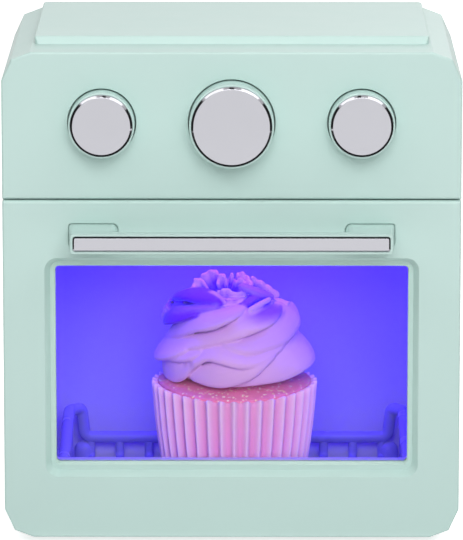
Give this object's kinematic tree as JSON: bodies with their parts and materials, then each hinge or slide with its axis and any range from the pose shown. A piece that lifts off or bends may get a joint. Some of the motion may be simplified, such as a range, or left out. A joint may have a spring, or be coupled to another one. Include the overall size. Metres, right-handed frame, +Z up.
{
  "type": "toy air fryer",
  "caption": "Toy air fryer with a drop-down window door, turning knobs, a push knob, a lit cavity, a wire tray and a moulded cupcake.",
  "frame": {"origin": "on the table, under the middle of the whole width and the whole depth, handle included", "axes": "+Z up, -Y out of the door, +X to the right of someone who faces the door"},
  "size_m": [0.092, 0.0724, 0.1026],
  "materials": {
    "mint": "satin pale mint moulding",
    "chrome": "bright plated plastic",
    "oven_white": "smooth white moulding",
    "clear": "clear sheet",
    "soft_pad": "soft pale pad",
    "steel": "plain zinc plated",
    "spring_steel": "nickel plated strip",
    "white_acetal": "unpainted acetal",
    "black_plastic": "plain moulding",
    "switch_plastic": "plain moulding",
    "board": "green circuit board",
    "lamp": "lamp lens, lit violet",
    "cell_wrap": "plain grey wrap",
    "tray_plastic": "smooth pale grey moulding",
    "liner_pink": "soft pink moulding",
    "cake": "matt cake moulding with fine glitter",
    "icing": "soft lilac and cream moulding"
  },
  "bodies": {
    "housing": {"housing_shell": "mint", "control_panel": "mint", "rear_cover": "mint", "foot_pads": "soft_pad", "oven_tub": "oven_white", "tub_screws": "steel", "panel_screws": "steel", "rear_screws": "steel", "left_click_spring": "spring_steel", "right_click_spring": "spring_steel", "push_switch": "black_plastic", "switch_board": "board", "board_screws": "steel", "light_lens": "clear", "led_board": "board", "led_chips": "lamp", "led_board_screws": "steel", "battery_box": "black_plastic", "battery_cells": "cell_wrap", "battery_contacts": "spring_steel", "battery_door": "mint", "battery_door_screw": "steel"},
    "door": {"door_panel": "mint", "door_inner_frame": "mint", "window_pane": "clear", "frame_screws": "steel", "handle_grip": "mint", "handle_trim": "chrome", "handle_screws": "steel", "hinge_pins": "steel"},
    "left_knob": {"knob_left": "mint", "knob_left_cap": "chrome", "left_click_wheel": "white_acetal", "left_knob_screw": "steel"},
    "right_knob": {"knob_right": "mint", "knob_right_cap": "chrome", "right_click_wheel": "white_acetal", "right_knob_screw": "steel"},
    "center_slider": {"center_plunger": "white_acetal", "center_knob_screw": "steel", "switch_stem": "switch_plastic"},
    "center_knob": {"knob_center": "mint", "knob_center_cap": "chrome"},
    "tray": {"fry_basket": "tray_plastic"},
    "cupcake": {"cupcake_liner": "liner_pink", "cupcake_cake": "cake", "cupcake_frosting": "icing"}
  },
  "joints": [
    {"name": "door_hinge", "type": "hinge", "parent": "housing", "child": "door", "pos_m": [0, -0.02225, 0.0065], "axis": [1, 0, 0], "range_deg": [0, 80]},
    {"name": "left_knob_turn", "type": "hinge", "parent": "housing", "child": "left_knob", "pos_m": [-0.02595, -0.02585, 0.0868], "axis": [0, 1, 0], "range_deg": [-135, 135]},
    {"name": "right_knob_turn", "type": "hinge", "parent": "housing", "child": "right_knob", "pos_m": [0.02595, -0.02585, 0.0868], "axis": [0, 1, 0], "range_deg": [-135, 135]},
    {"name": "center_press", "type": "slide", "parent": "housing", "child": "center_slider", "axis": [0, 1, 0], "range_m": [0, 0.0012], "stiffness_N_per_m": 600, "springref_m": -0.0008},
    {"name": "center_turn", "type": "hinge", "parent": "center_slider", "child": "center_knob", "pos_m": [0, -0.02585, 0.0868], "axis": [0, 1, 0], "continuous": true},
    {"name": "tray_lift", "type": "slide", "parent": "housing", "child": "tray", "axis": [0, 0, 1], "range_m": [0, 0.004]},
    {"name": "cupcake_lift", "type": "slide", "parent": "tray", "child": "cupcake", "axis": [0, 0, 1], "range_m": [0, 0.005]}
  ]
}
